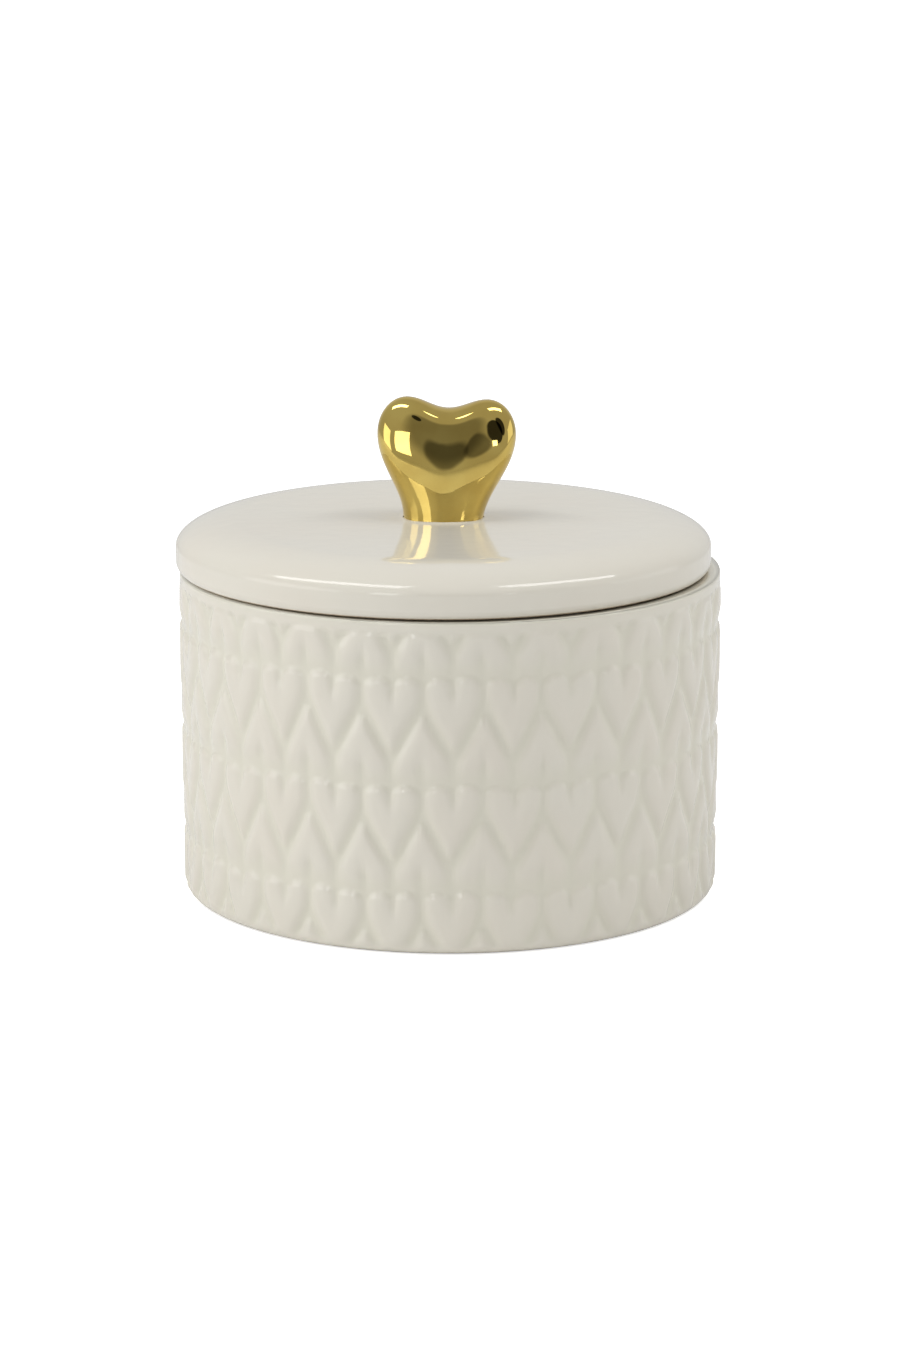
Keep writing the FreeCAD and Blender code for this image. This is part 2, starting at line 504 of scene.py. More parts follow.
def clay_and_seam_shade_faces(piece: bpy.types.Object, inside: np.ndarray) -> None:
    """Give the second material slot to the faces whose corners are all marked.

    Args:
        piece: the piece.
        inside: one truth value for each vertex.
    """
    mesh = piece.data
    corners = np.zeros(len(mesh.loops), dtype=np.int64)
    mesh.loops.foreach_get("vertex_index", corners)
    starts = np.zeros(len(mesh.polygons), dtype=np.int64)
    mesh.polygons.foreach_get("loop_start", starts)
    marked = np.minimum.reduceat(inside[corners].astype(np.int32), starts)
    mesh.polygons.foreach_set("material_index", marked)


# ----------------------------------------------------------------------------------------------
# The pot


@dataclass(frozen=True)
class Wave:
    """One slow wave that pushes the hearts off their grid, as a potter's hands do."""

    share: float
    turns: float
    climb: float = 0.0
    start: float = 0.0

    def at(self, angle: np.ndarray, height: np.ndarray) -> np.ndarray:
        """Push at points of the wall: share times sin(turns x angle + climb x height + start)."""
        return self.share * np.sin(self.turns * angle + self.climb * height + self.start)


SIDEWAYS = (Wave(1.0, 7.0, climb=110.0), Wave(0.6, 19.0, climb=-240.0))
UPWARDS = (Wave(1.0, 11.0, start=1.3), Wave(0.7, 23.0))


@dataclass
class HeartRelief:
    """Interlocking hearts: a row of upright ones, then a row of inverted ones, repeated downwards.

    Lengths are in metres along the wall.
    """

    around: int = 29
    period: float = 19.44 * MM
    top_groove: float = 50.5 * MM
    first_axis: float = math.radians(-5.69)
    upright_top: float = 0.10 * MM
    upright_height: float = 13.3 * MM
    inverted_tip: float = 7.3 * MM
    inverted_height: float = 11.9 * MM
    lobe_radius: float = 2.60 * MM
    side_gap: float = 0.18 * MM
    notch_slope: float = 0.42
    tip_slope: float = 1.90
    tip_offset: float = 0.60 * MM
    tip_cap: float = 0.55 * MM
    tip_sharpness: float = 1.3
    tip_blend: float = 0.9 * MM
    slant_blend: float = 1.0 * MM
    notch_blend: float = 0.8 * MM
    crest_blend: float = 0.06
    upright_end: float = 1.0
    upright_sharpness: float = 1.8
    inverted_end: float = 0.45
    inverted_sharpness: float = 1.0
    inverted_lead: float = 2.0 * MM
    fade_start: float = 8.0 * MM
    fade_stop: float = 12.4 * MM
    fade: float = 0.70
    groove: float = 0.06 * MM
    shoulder: float = 2.2 * MM
    depth: float = 0.74 * MM
    wobble: float = 0.20 * MM

    def inside_distance(
        self,
        across: np.ndarray,
        up: np.ndarray,
        height: float,
        half_pitch: float,
        end: float,
        sharpness: float,
    ) -> np.ndarray:
        """How far inside one heart's outline a point lies, negative outside.

        Formula: the least of the distances to the two slanted edges at the tip, to the round
        lobes, and to the notch between them, which narrows from the lobes down to the tip.

        Args:
            across: distance from the heart's axis, positive.
            up: distance from the tip towards the lobes.
            height: distance from the tip to the top of the lobes.
            half_pitch: half the distance between two hearts of a row.
            end: how suddenly the lobes end, 1 for a round end and less for one that fades.
            sharpness: steepness at the top of the lobes, 1 for the same as along the sides.

        Returns:
            Distance inside, in metres.
        """
        radius = self.lobe_radius
        centre = half_pitch - self.side_gap - radius
        level = height - radius
        slant = (up - self.tip_slope * across) / math.hypot(1.0, self.tip_slope)
        slant = slant + self.tip_offset
        beyond = np.hypot(across - centre, end * np.maximum(up - level, 0.0))
        lobe = (radius - beyond) * (1.0 + (sharpness - 1.0) * smoothstep(0.0, radius, up - level))
        side = radius + centre - across
        notch = across - (centre - radius) + self.notch_slope * (level - up)
        body = soft_min(side, notch, self.notch_blend)
        upper = np.where(up > level, lobe, body)
        cap = self.tip_sharpness * (up + self.tip_cap)
        return soft_min(soft_min(slant, upper, self.slant_blend), cap, self.tip_blend)

    def crest(self, angle: np.ndarray, height: np.ndarray, radius: float) -> np.ndarray:
        """Share of the full relief at points of the wall, 1 on the hearts and 0 in the grooves.

        Formula: the higher of the upright and the inverted hearts' pillows; the inverted ones sink
        towards their lobes. Slow sine waves push the hearts a little off their grid.

        Args:
            angle: angles round the pot from the front, positive to the right.
            height: heights above the foot.
            radius: radius of the wall.

        Returns:
            Array of shares from 0 to 1.
        """
        pitch = 2.0 * math.pi * radius / self.around
        sideways = sum(wave.at(angle, height) for wave in SIDEWAYS)
        upwards = sum(wave.at(angle, height) for wave in UPWARDS)
        along = (angle - self.first_axis) * radius + self.wobble * sideways
        down = np.mod(self.top_groove - height + self.wobble * upwards, self.period)
        upright = self.inside_distance(
            fold(along + 0.5 * pitch, pitch),
            self.upright_top + self.upright_height - down,
            self.upright_height,
            0.5 * pitch,
            self.upright_end,
            self.upright_sharpness,
        )
        lead = self.inverted_lead
        below_tip = np.mod(down - self.inverted_tip + lead, self.period) - lead
        inverted = self.inside_distance(
            fold(along, pitch),
            below_tip,
            self.inverted_height,
            0.5 * pitch,
            self.inverted_end,
            self.inverted_sharpness,
        )
        sunk = 1.0 - self.fade * smoothstep(self.fade_start, self.fade_stop, below_tip)
        first = self.pillow(upright)
        second = self.pillow(inverted) * sunk
        return -soft_min(-first, -second, self.crest_blend)

    def pillow(self, inside: np.ndarray) -> np.ndarray:
        """Share of the full relief at a distance inside an outline, rising as a parabola."""
        missing = 1.0 - np.clip((inside + self.groove) / self.shoulder, 0.0, 1.0)
        return 1.0 - missing * missing


@dataclass
class EmbossedPot:
    """The pot: foot ring, embossed outer wall, rounded rim and plain inside, as one glazed piece."""

    relief: HeartRelief = field(default_factory=HeartRelief)
    samples_per_heart: int = 18
    wall_rows: int = 140
    base_radius: float = 49.5 * MM
    mouth_radius: float = 45.4 * MM
    floor_height: float = 5.0 * MM
    foot_inner: float = 43.0 * MM
    foot_recess: float = 1.0 * MM
    base_round: float = 2.2 * MM
    rim_round: float = 0.4 * MM
    inner_round: float = 1.5 * MM
    floor_round: float = 6.0 * MM
    foot_round: float = 0.5 * MM
    band_low: float = 57.3 * MM
    band_high: float = 58.3 * MM
    band_level: float = 0.62
    foot_low: float = 0.3 * MM
    foot_high: float = 2.5 * MM
    soften_around: float = 0.45
    soften_up: float = 0.50
    rim_tint_start: float = 0.5 * MM
    rim_tint_stop: float = 0.2 * MM
    sole_limit: float = 0.05 * MM
    disc_start: float = 10.0 * MM

    def __post_init__(self) -> None:
        """Read the pot's outer sizes from the frame."""
        low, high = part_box("pot_body")
        self.radius = (high.x - low.x) / 2.0
        self.height = high.z

    def profile(self) -> np.ndarray:
        """Profile from the middle of the underside, out, up the wall, over the rim and down inside.

        Returns:
            Array of (radius, height) rows, both poles left out.
        """
        foot = self.foot_round
        base = self.base_round
        rim = self.rim_round
        inner = self.inner_round
        soft = self.floor_round
        floor = self.floor_height
        mouth = self.mouth_radius
        top = self.height
        return join_runs([
            straight((self.disc_start, self.foot_recess), (self.foot_inner, self.foot_recess), 3),
            quarter_turn((self.foot_inner + foot, foot), foot, foot, 180.0, 270.0, 3),
            straight((self.foot_inner + foot, 0.0), (self.base_radius - base, 0.0), 3),
            quarter_turn((self.base_radius - base, base), base, base, -90.0, 0.0, 8),
            straight((self.base_radius, base), (self.radius, top - rim), self.wall_rows),
            quarter_turn((self.radius - rim, top - rim), rim, rim, 0.0, 90.0, 5),
            straight((self.radius - rim, top), (mouth + inner, top), 3),
            quarter_turn((mouth + inner, top - inner), inner, inner, 90.0, 180.0, 5),
            straight((mouth, top - inner), (mouth, floor + soft), 5),
            quarter_turn((mouth - soft, floor + soft), soft, soft, 0.0, -90.0, 7),
            straight((mouth - soft, floor), (self.disc_start, floor), 3),
        ])

    def build(self) -> bpy.types.Object:
        """Build, dress and attach the pot.

        Formula: the profile is turned round the axis; on the outer wall each point moves inwards
        by the relief's depth times what is missing of the hearts' crest. The relief dies away at
        the foot and gives way to a plain band below the rim.

        Returns:
            The piece.
        """
        profile = self.profile()
        columns = self.relief.around * self.samples_per_heart
        angle = np.linspace(0.0, 2.0 * math.pi, columns, endpoint=False)
        radius = np.repeat(profile[:, :1], columns, axis=1)
        height = np.repeat(profile[:, 1:], columns, axis=1)
        outer = (radius > self.base_radius - self.base_round) & (height < self.height - SAME_POINT)
        wall = smoothstep(self.foot_low, self.foot_high, height) * outer
        band = smoothstep(self.band_low, self.band_high, height)
        crest = self.relief.crest(angle[None, :], height, self.radius)
        crest = blur(crest, self.soften_around, 1, True)
        crest = blur(crest, self.soften_up, 0, False)
        crest = crest + band * (self.band_level - crest)
        lift = 1.0 - (1.0 - crest) * wall
        radius = radius - self.relief.depth * (1.0 - lift)
        grid = np.stack([radius * np.sin(angle), -radius * np.cos(angle), height], axis=-1)
        piece = closed_mesh(
            "embossed_pot",
            grid,
            np.array([0.0, 0.0, self.foot_recess]),
            np.array([0.0, 0.0, self.floor_height]),
        )
        rim = smoothstep(self.height - self.rim_tint_start, self.height - self.rim_tint_stop, height)
        store_attribute(piece, "relief", np.concatenate([(lift * (1.0 - rim)).ravel(), [1.0, 1.0]]))
        dress(piece, [Finish.EMBOSSED_GLAZE, Finish.BARE_CLAY_AND_SEAM_SHADE])
        flat = (height < self.sole_limit).ravel()
        clay_and_seam_shade_faces(piece, np.concatenate([flat, [False, False]]))
        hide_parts("pot_body")
        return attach(piece, "pot")


# ----------------------------------------------------------------------------------------------
# The lid


@dataclass
class SoftLid:
    """The lid: a disc with a full soft edge, a locating ring below and a hollow inside the ring."""

    columns: int = 300
    crown_across: float = 11.6 * MM
    crown_up: float = 4.7 * MM
    under_across: float = 1.3 * MM
    under_up: float = 1.7 * MM
    ring_outer: float = 43.6 * MM
    ring_inner: float = 40.4 * MM
    ring_round: float = 1.2 * MM
    crown_wall: float = 4.6 * MM
    hollow_round: float = 3.0 * MM
    ring_depth: float = 5.5 * MM
    weld_height: float = 0.35 * MM
    weld_width: float = 0.8 * MM
    weld_reach: float = 16.0 * MM
    fine_radius: float = 13.0 * MM
    fine_start: float = 0.5 * MM
    disc_start: float = 5.0 * MM
    seat_limit: float = 0.35 * MM
    tip_limit: float = 0.2 * MM
    near: float = 0.01 * MM

    def __post_init__(self) -> None:
        """Read the lid's place and outer sizes from the frame."""
        low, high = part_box("lid")
        self.centre = (low.x + high.x) / 2.0
        self.radius = (high.y - low.y) / 2.0
        self.top = high.z
        self.seat = low.z + self.ring_depth

    def profile(self) -> np.ndarray:
        """Profile from the middle of the hollow's ceiling, round the ring and edge, to the crown.

        Returns:
            Array of (radius, height) rows, both poles left out.
        """
        ceiling = self.top - self.crown_wall
        low = self.seat - self.ring_depth
        soft = self.hollow_round
        ring = self.ring_round
        fine = (self.fine_radius, self.top)
        crown = quarter_turn(
            (self.radius - self.crown_across, self.top - self.crown_up),
            self.crown_across, self.crown_up, 0.0, 90.0, 40,
        )
        return join_runs([
            straight((self.disc_start, ceiling), (self.ring_inner - soft, ceiling), 5),
            quarter_turn((self.ring_inner - soft, ceiling - soft), soft, soft, 90.0, 0.0, 8),
            straight((self.ring_inner, ceiling - soft), (self.ring_inner, low + ring), 4),
            quarter_turn((self.ring_inner + ring, low + ring), ring, ring, 180.0, 270.0, 5),
            quarter_turn((self.ring_outer - ring, low + ring), ring, ring, -90.0, 0.0, 5),
            straight((self.ring_outer, low + ring), (self.ring_outer, self.seat), 4),
            straight((self.ring_outer, self.seat), (self.radius - self.under_across, self.seat), 4),
            quarter_turn(
                (self.radius - self.under_across, self.seat + self.under_up),
                self.under_across, self.under_up, -90.0, 0.0, 14,
            ),
            crown,
            straight((self.radius - self.crown_across, self.top), fine, 14),
            straight(fine, (self.fine_start, self.top), 50),
        ])

    def build(self, foot: "HeartKnob") -> bpy.types.Object:
        """Build, dress and attach the lid.

        Formula: the profile is turned round the lid's axis; near the knob's foot the top rises in
        a fillet of glaze that dies away exponentially with the distance from the foot.

        Args:
            foot: the knob, whose foot the glaze climbs.

        Returns:
            The piece.
        """
        profile = self.profile()
        angle = np.linspace(0.0, 2.0 * math.pi, self.columns, endpoint=False)
        radius = np.repeat(profile[:, :1], self.columns, axis=1)
        height = np.repeat(profile[:, 1:], self.columns, axis=1)
        across = radius * np.sin(angle)
        away = -radius * np.cos(angle)
        outside = foot.foot_distance(across, away)
        weld = self.weld_height * np.exp(-np.maximum(outside, 0.0) / self.weld_width)
        upper = (profile[:, 1] > self.top - self.near)[:, None]
        height = height + np.where(upper & (radius < self.weld_reach), weld, 0.0)
        grid = np.stack([self.centre + across, away, height], axis=-1)
        ceiling = self.top - self.crown_wall
        piece = closed_mesh(
            "glazed_lid",
            grid,
            np.array([self.centre, 0.0, ceiling]),
            np.array([self.centre, 0.0, self.top + self.weld_height]),
        )
        dress(piece, [Finish.SMOOTH_GLAZE, Finish.BARE_CLAY_AND_SEAM_SHADE])
        # The lid's seat and the ring's tip take the bare clay: unglazed clay, and at the seat also
        # painted shade that darkens the seam between lid and pot.
        level = np.abs(height - self.seat) < self.seat_limit
        seat = level & (radius > self.ring_outer - self.near)
        tip = height < self.seat - self.ring_depth + self.tip_limit
        clay_and_seam_shade_faces(piece, np.concatenate([(seat | tip).ravel(), [False, False]]))
        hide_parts("lid")
        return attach(piece, "lid")


# ----------------------------------------------------------------------------------------------
# The knob


@dataclass
class HeartKnob:
    """The knob: a thick pillowed heart that leans a little and stands on a flat sole."""

    half_width: float = 12.7 * MM
    widest_height: float = 15.6 * MM
    top_height: float = 22.2 * MM
    lobe_offset: float = 7.35 * MM
    cleft_depth: float = 1.8 * MM
    foot_half_width: float = 7.4 * MM
    side_power: float = 0.93
    lean: float = math.radians(2.2)
    middle: float = 6.8 * MM
    tail: float = 14.0 * MM
    waist: float = 7.9 * MM
    waist_blend: float = 3.2 * MM
    face_fall: float = 15.5
    face_bow: float = 2.0 * MM
    valley: float = 0.75 * MM
    valley_width: float = 3.4 * MM
    band_width: float = 4.2 * MM
    band_height: float = 1.12
    band_power: float = 2.4
    ridge_blend: float = 0.11
    thinnest: float = 0.2
    sole_round: float = 0.35 * MM
    sole_spread: float = 0.35
    settle_height: float = 3.0 * MM
    foot_power: float = 3.2
    ray_reach: float = 40.0 * MM
    halvings: int = 40
    outline_pieces: int = 360
    rows: int = 70
    row_crowding: float = 2.6
    outline_points: int = 240
    sole_points: int = 60

    def __post_init__(self) -> None:
        """Read the knob's place and thickness from the frame."""
        low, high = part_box("heart_knob")
        lid_low, lid_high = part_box("lid")
        self.centre = (lid_low.x + lid_high.x) / 2.0
        self.base = low.z
        self.half = (high.y - low.y) / 2.0

    def outline_radius(self, turn: np.ndarray) -> np.ndarray:
        """Distance from the heart's middle to its outline, the sides carried on below the sole.

        Formula: along a ray from the middle, the span that holds the outline is halved again and
        again, and its near end is kept.

        Args:
            turn: angles of the rays, 0 to the right and a quarter turn up.

        Returns:
            Array of distances.
        """
        low = np.zeros_like(turn)
        high = np.full_like(turn, self.ray_reach)
        for _ in range(self.halvings):
            trial = 0.5 * (low + high)
            within = self.inside(trial * np.cos(turn), self.middle + trial * np.sin(turn))
            low = np.where(within, trial, low)
            high = np.where(within, high, trial)
        return low

    def side_width(self, up: np.ndarray) -> np.ndarray:
        """Half width of the heart's sides.

        Formula: from the foot's half width to the full one as half a cosine wave of the height.

        Args:
            up: heights above the sole.

        Returns:
            Array of half widths.
        """
        share = np.clip(up / self.widest_height, 0.0, 1.0) ** self.side_power
        swell = 0.5 - 0.5 * np.cos(math.pi * share)
        return self.foot_half_width + (self.half_width - self.foot_half_width) * swell

    def inside(self, across: np.ndarray, up: np.ndarray) -> np.ndarray:
        """Tell which points of the upright heart's plane lie within its outline.

        Formula: the sides swell from the foot as half a cosine wave of the height; the shoulders
        are quarter ellipses; between the lobes the top is a cosine wave with the cleft as trough.

        Args:
            across: distance to the right of the middle line.
            up: height above the sole.

        Returns:
            Array of truth values.
        """
        x = np.abs(across)
        side = self.side_width(up)
        wave = 0.5 * self.cleft_depth * (1.0 - np.cos(math.pi * x / self.lobe_offset))
        top = self.top_height - self.cleft_depth + wave
        out = np.clip((x - self.lobe_offset) / (self.half_width - self.lobe_offset), 0.0, 1.0)
        shoulder = np.sqrt(1.0 - out ** 2) * (self.top_height - self.widest_height)
        top = np.where(x > self.lobe_offset, self.widest_height + shoulder, top)
        return (x < side) & (up < top) & (up > -self.tail)

    def edge_distance(self, across: np.ndarray, up: np.ndarray) -> np.ndarray:
        """Distance from points of the heart's plane to its outline.

        Formula: the outline is cut into short pieces; each point takes the nearest piece's
        distance, measured square to it within its ends.

        Args:
            across: distance to the right of the middle line.
            up: height above the sole.

        Returns:
            Array of distances.
        """
        turn = np.linspace(0.0, 2.0 * math.pi, self.outline_pieces + 1)
        reach = self.outline_radius(turn)
        line_x = reach * np.cos(turn)
        line_up = self.middle + reach * np.sin(turn)
        step_x = np.diff(line_x)
        step_up = np.diff(line_up)
        gap_x = across.ravel()[:, None] - line_x[None, :-1]
        gap_up = up.ravel()[:, None] - line_up[None, :-1]
        along = (gap_x * step_x + gap_up * step_up) / (step_x ** 2 + step_up ** 2)
        along = np.clip(along, 0.0, 1.0)
        apart = np.hypot(gap_x - along * step_x, gap_up - along * step_up)
        return apart.min(axis=1).reshape(across.shape)

    def thickness(self, across: np.ndarray, up: np.ndarray) -> np.ndarray:
        """Half thickness at points of the heart's plane.

        Formula: the face is flat up to the waist and then falls away with the square of the height
        above it, the waist itself rounded by a hyperbola; it is bowed from side to side as a
        parabola of the share of the local width, with a bell-shaped valley between the lobes;
        near the outline the side band is a rounded slope that meets the face in a ridge.

        Args:
            across: distance to the right of the middle line.
            up: height above the sole.

        Returns:
            Array of half thicknesses.
        """
        beyond = up - self.waist
        above = 0.5 * (beyond + np.hypot(beyond, self.waist_blend))
        face = 1.0 - self.face_fall * above ** 2 / self.half
        share = smoothstep(0.0, self.top_height, above)
        dip = np.exp(-(across / self.valley_width) ** 2) * share
        face = np.maximum(face - self.valley * dip / self.half, self.thinnest)
        belly = self.face_bow * (across / self.side_width(up)) ** 2
        face = face - belly / self.half
        near = np.clip(self.edge_distance(across, up) / self.band_width, 0.0, 1.0)
        power = self.band_power
        side = self.band_height * (1.0 - (1.0 - near) ** power) ** (1.0 / power)
        return self.half * np.minimum(soft_min(face, side * face, self.ridge_blend), 1.0)

    def foot_distance(self, across: np.ndarray, away: np.ndarray) -> np.ndarray:
        """Rough distance outside the knob's foot, negative within it.

        Formula: a squarish oval through the foot's half width and half thickness; its value less
        one, times the mean of the two.

        Args:
            across: distance from the lid's axis to the right.
            away: distance from the lid's axis to the back.

        Returns:
            Distance in metres.
        """
        wide = self.foot_half_width
        deep = self.half
        power = self.foot_power
        value = (np.abs(across / wide) ** power + np.abs(away / deep) ** power) ** (1.0 / power)
        return (value - 1.0) * 0.5 * (wide + deep)

    def build(self) -> bpy.types.Object:
        """Build, dress and attach the knob.

        Formula: rays run from the heart's middle to its outline or to the sole, whichever is
        nearer; along each ray the front and the back lie at the half thickness; the sole closes
        the two with a small round.

        Returns:
            The piece.
        """
        lift = self.sole_round
        drop = self.middle - lift
        corner = self.foot_half_width + self.sole_spread * lift
        turn_right = math.atan2(-drop, corner)
        upper = np.linspace(turn_right, math.pi - turn_right, self.outline_points)
        spread = np.cos(np.linspace(math.pi, 0.0, self.sole_points + 2)[1:-1])
        lower = np.arctan2(-drop, corner * spread)
        turn = np.concatenate([upper, lower])
        edge = self.outline_radius(turn)
        edge[self.outline_points:] = drop / -np.sin(lower)
        share = 1.0 - (1.0 - np.linspace(0.0, 1.0, self.rows + 1)[1:]) ** self.row_crowding
        reach = share[:, None] * edge[None, :]
        across = reach * np.cos(turn)
        up = self.middle + reach * np.sin(turn)
        deep = self.thickness(across, up)
        on_sole = np.arange(len(turn)) >= self.outline_points
        deep[-1, ~on_sole] = 0.0
        front = np.stack([across, -deep, up], axis=-1)
        back = np.stack([across, deep, up], axis=-1)[::-1]
        rounds = []
        for angle in np.radians([30.0, 60.0, 90.0]):
            ring = front[-1].copy()
            ring[on_sole, 2] = lift * (1.0 - math.sin(angle))
            shrink = 1.0 - lift * (1.0 - math.cos(angle)) / self.half
            ring[on_sole, :2] *= shrink
            rounds.append(ring)
        under = [ring * np.array([1.0, -1.0, 1.0]) for ring in rounds[::-1]]
        grid = np.concatenate([front, np.stack(rounds + under), back])
        depth = float(self.thickness(np.zeros(1), np.full(1, self.middle))[0])
        poles = [np.array([0.0, side * depth, self.middle]) for side in (-1.0, 1.0)]
        grid = self.placed(grid)
        piece = closed_mesh("gold_heart_knob", grid, self.placed(poles[0]), self.placed(poles[1]))
        self.weld_seam(piece)
        dress(piece, [Finish.GOLD_LUSTRE])
        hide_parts("heart_knob")
        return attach(piece, "lid")

    def placed(self, points: np.ndarray) -> np.ndarray:
        """Lean the heart about its sole, keep the sole flat and set it on the lid.

        Formula: a turn about the Y axis by the lean; near the sole the heights stay as they were.

        Args:
            points: array of points in the upright heart's own place, the last axis being x, y, z.

        Returns:
            Array of points on the lid.
        """
        points = np.asarray(points, dtype=float)
        x = points[..., 0] * math.cos(self.lean) + points[..., 2] * math.sin(self.lean)
        z = points[..., 2] * math.cos(self.lean) - points[..., 0] * math.sin(self.lean)
        share = 1.0 - smoothstep(0.0, self.settle_height, points[..., 2])
        z = z + share * (points[..., 2] - z)
        return np.stack([x + self.centre, points[..., 1], z + self.base], axis=-1)

    def weld_seam(self, piece: bpy.types.Object) -> None:
        """Merge the points that the front and back share along the outline.

        Args:
            piece: the knob's object.
        """
        shape = bmesh.new()
        shape.from_mesh(piece.data)
        bmesh.ops.remove_doubles(shape, verts=shape.verts, dist=WELD_GAP)
        bmesh.ops.recalc_face_normals(shape, faces=shape.faces)
        shape.to_mesh(piece.data)
        shape.free()
        piece.data.polygons.foreach_set("use_smooth", np.ones(len(piece.data.polygons), dtype=bool))
        piece.data.update()


# ----------------------------------------------------------------------------------------------
# Studio


AIM = Vector((0.0, 0.0, 0.05))


@dataclass(frozen=True)
class Softbox:
    """One rectangular soft light. It hangs face down, or stands facing the pot."""

    name: str
    place: tuple[float, float, float]
    size: tuple[float, float]
    radiance: float
    turn: float = 0.0
    stands: bool = False

    def build(self) -> None:
        """Add the light.

        Formula: its power is the radiance times its area times pi.
        """
        data = bpy.data.lights.new(self.name, "AREA")
        data.shape = "RECTANGLE"
        data.size, data.size_y = self.size
        data.energy = self.radiance * self.size[0] * self.size[1] * math.pi
        light = bpy.data.objects.new(self.name, data)
        light.location = self.place
        light.rotation_euler = (0.0, 0.0, math.radians(self.turn))
        if self.stands:
            light.rotation_euler = facing(AIM - Vector(self.place))
        light.visible_camera = False
        bpy.context.scene.collection.objects.link(light)


def facing(direction: Vector) -> Euler:
    """Turn that points an object's -Z along a direction with its Y up."""
    return direction.to_track_quat("-Z", "Y").to_euler()


def sky(azimuth: float, elevation: float) -> Vector:
    """Direction of a point of the tent.

    Formula: the unit vector at the azimuth, turned up by the elevation.

    Args:
        azimuth: degrees to the right of the viewer's side.
        elevation: degrees above level.

    Returns:
        Unit vector.
    """
    turn = math.radians(azimuth)
    rise = math.radians(elevation)
    return Vector((math.cos(rise) * math.sin(turn), -math.cos(rise) * math.cos(turn), math.sin(rise)))


@dataclass(frozen=True)
class TentPatch:
    """A round patch of the tent, darker or brighter than the rest by its level.

    All but the level are in degrees; the patch is even within inner and fades out at outer.
    """

    azimuth: float
    elevation: float
    inner: float
    outer: float
    level: float


PATCHES = (
    TentPatch(0.0, 9.0, 7.0, 11.0, 0.36),
    TentPatch(16.0, 12.0, 7.0, 10.0, 0.36),
    TentPatch(33.0, 21.0, 9.0, 10.5, 0.07),
    TentPatch(46.0, 26.0, 9.0, 11.0, 0.07),
    TentPatch(0.0, 24.0, 14.0, 24.0, 0.50),
    TentPatch(-11.0, 35.0, 4.0, 5.0, 0.10),
    TentPatch(180.0, 12.0, 30.0, 55.0, 1.25),
)

SOFTBOXES = (
    Softbox("softbox_left", (-0.59, -0.10, 1.07), (0.94, 0.26), 5.1, turn=-34.0),
    Softbox("softbox_right", (0.65, -0.08, 1.07), (0.86, 0.26), 5.0, turn=39.0),
    Softbox("window_left", (-0.95, -0.40, 0.25), (0.90, 0.45), 1.45, stands=True),
    Softbox("window_right", (1.10, 0.10, 0.25), (0.90, 0.40), 0.7, stands=True),
    Softbox("window_front", (-0.48, -1.05, 0.32), (0.24, 0.36), 2.4, stands=True),
    Softbox("window_far", (0.545, -1.03, 0.33), (0.09, 0.10), 4.0, stands=True),
)


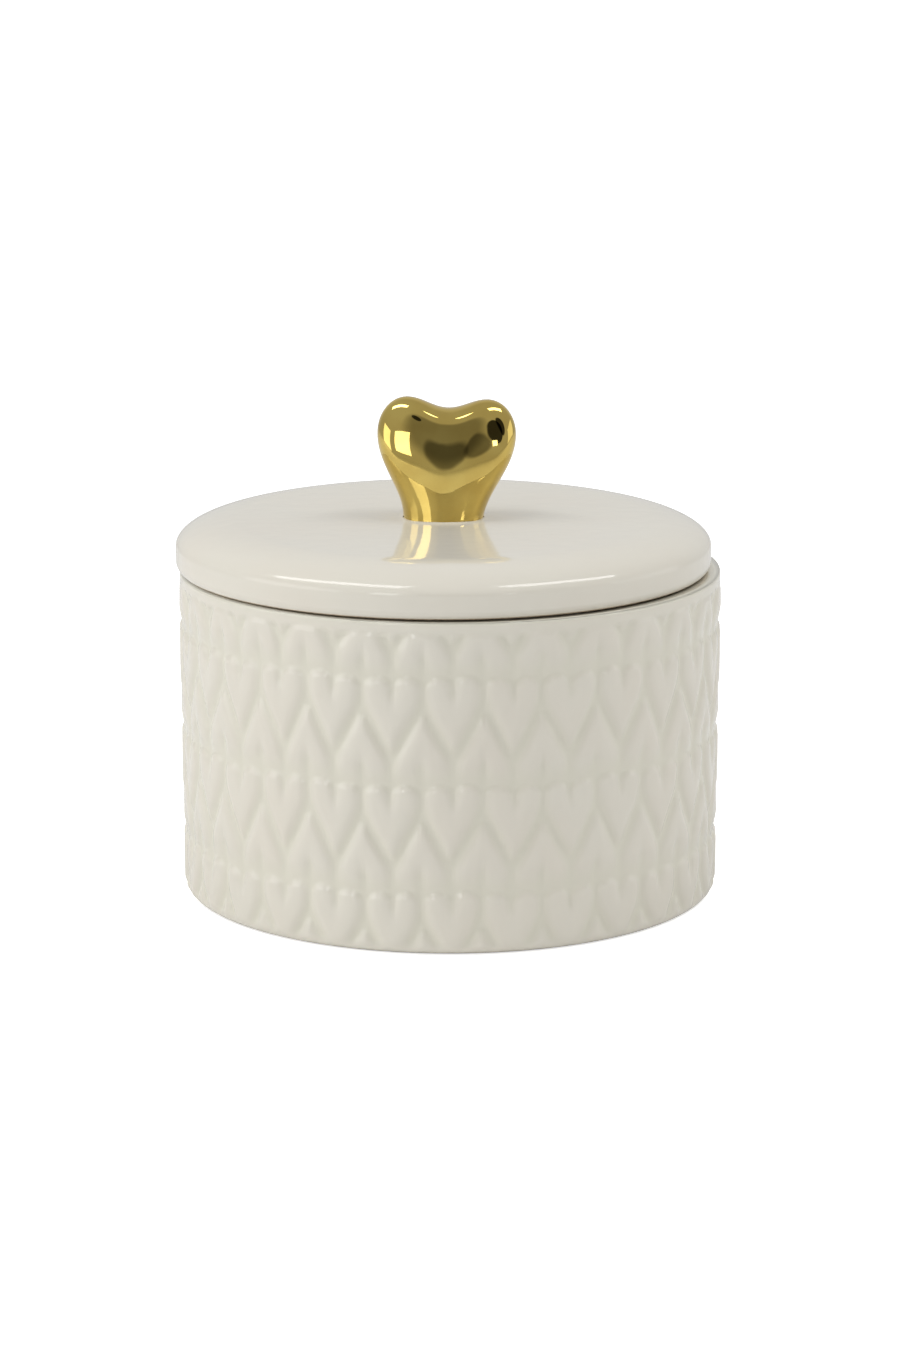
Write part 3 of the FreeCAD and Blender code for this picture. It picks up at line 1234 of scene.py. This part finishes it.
@dataclass
class Studio:
    """Pale floor, soft lights, a light tent and the camera."""

    distance: float = 0.800
    elevation: float = math.radians(12.95)
    aim_height: float = 39.5 * MM
    focal: float = 115.18
    sensor: float = 36.0
    clip: Span = (0.05, 20.0)
    floor_size: float = 6.0
    floor_dark: Colour = (0.92, 0.92, 0.92)
    floor_pale: Colour = (0.95, 0.95, 0.95)
    floor_cloud_scale: float = 2.0
    floor_cloud_layers: float = 2.0
    floor_roughness: float = 0.9
    floor_shine: float = 0.1
    floor_glow: float = 0.62
    tent: float = 0.50
    white: Colour = (1.0, 1.0, 1.0)

    def build(self) -> None:
        """Build the whole studio."""
        self.floor()
        self.surround()
        for softbox in SOFTBOXES:
            softbox.build()
        self.camera()
        bpy.context.scene.view_settings.view_transform = "Standard"

    def floor(self) -> None:
        """Lay a pale matt floor with faint clouds, which glows for the camera alone."""
        half = self.floor_size / 2.0
        mesh = bpy.data.meshes.new("floor")
        corners = [(-half, -half, 0.0), (half, -half, 0.0), (half, half, 0.0), (-half, half, 0.0)]
        mesh.from_pydata(corners, [], [(0, 1, 2, 3)])
        floor = bpy.data.objects.new("floor", mesh)
        bpy.context.scene.collection.objects.link(floor)
        shader = Shader("pale_floor")
        clouds = shader.noise(self.floor_cloud_scale, self.floor_cloud_layers)
        shader.colour(shader.mix(clouds, self.floor_dark, self.floor_pale))
        shader.surface.inputs["Roughness"].default_value = self.floor_roughness
        shader.surface.inputs["Specular IOR Level"].default_value = self.floor_shine
        shader.surface.inputs["Emission Color"].default_value = (*self.white, 1.0)
        seen = shader.add("ShaderNodeLightPath").outputs["Is Camera Ray"]
        glow = shader.remap(seen, (0.0, 1.0), (0.0, self.floor_glow))
        shader.links.new(glow, shader.surface.inputs["Emission Strength"])
        mesh.materials.append(shader.material)

    def surround(self) -> None:
        """Surround the pot with a pale tent, patchy where the viewer stands, on a white backdrop.

        Formula: the tent's brightness times, for each patch, a level that goes smoothly from one
        to the patch's own as a direction comes within a cone about its middle. The camera alone
        sees plain white.
        """
        world = bpy.data.worlds.new("surround")
        world.use_nodes = True
        bpy.context.scene.world = world
        nodes = world.node_tree.nodes
        links = world.node_tree.links
        nodes.clear()
        place = nodes.new("ShaderNodeTexCoord")
        level = None
        for patch in PATCHES:
            dot = nodes.new("ShaderNodeVectorMath")
            dot.operation = "DOT_PRODUCT"
            dot.inputs[1].default_value = sky(patch.azimuth, patch.elevation)
            links.new(place.outputs["Generated"], dot.inputs[0])
            ramp = nodes.new("ShaderNodeMapRange")
            ramp.interpolation_type = "SMOOTHSTEP"
            ramp.inputs["From Min"].default_value = math.cos(math.radians(patch.outer))
            ramp.inputs["From Max"].default_value = math.cos(math.radians(patch.inner))
            ramp.inputs["To Min"].default_value = 1.0
            ramp.inputs["To Max"].default_value = patch.level
            links.new(dot.outputs["Value"], ramp.inputs["Value"])
            product = nodes.new("ShaderNodeMath")
            product.operation = "MULTIPLY"
            product.inputs[1].default_value = self.tent
            links.new(ramp.outputs["Result"], product.inputs[0])
            if level is not None:
                links.new(level, product.inputs[1])
            level = product.outputs[0]
        tent = nodes.new("ShaderNodeBackground")
        tent.inputs["Color"].default_value = (*self.white, 1.0)
        links.new(level, tent.inputs["Strength"])
        paper = nodes.new("ShaderNodeBackground")
        paper.inputs["Color"].default_value = (*self.white, 1.0)
        ray = nodes.new("ShaderNodeLightPath")
        choose = nodes.new("ShaderNodeMixShader")
        links.new(ray.outputs["Is Camera Ray"], choose.inputs["Fac"])
        links.new(tent.outputs["Background"], choose.inputs[1])
        links.new(paper.outputs["Background"], choose.inputs[2])
        output = nodes.new("ShaderNodeOutputWorld")
        links.new(choose.outputs["Shader"], output.inputs["Surface"])

    def camera(self) -> None:
        """Set the camera at the viewer's height and distance."""
        data = bpy.data.cameras.new("camera")
        data.lens = self.focal
        data.sensor_width = self.sensor
        data.clip_start, data.clip_end = self.clip
        camera = bpy.data.objects.new("camera", data)
        back = Vector((0.0, -math.cos(self.elevation), math.sin(self.elevation)))
        camera.location = Vector((0.0, 0.0, self.aim_height)) + self.distance * back
        camera.rotation_euler = facing(-back)
        bpy.context.scene.collection.objects.link(camera)
        bpy.context.scene.camera = camera


# ----------------------------------------------------------------------------------------------
# All of it


def main() -> None:
    """Build the pieces in order, then the studio."""
    knob = HeartKnob()
    pieces = [EmbossedPot().build(), SoftLid().build(knob), knob.build()]
    for piece in pieces:
        log.info("%s: %d faces", piece.name, len(piece.data.polygons))
    Studio().build()


if __name__ == "__main__":
    main()
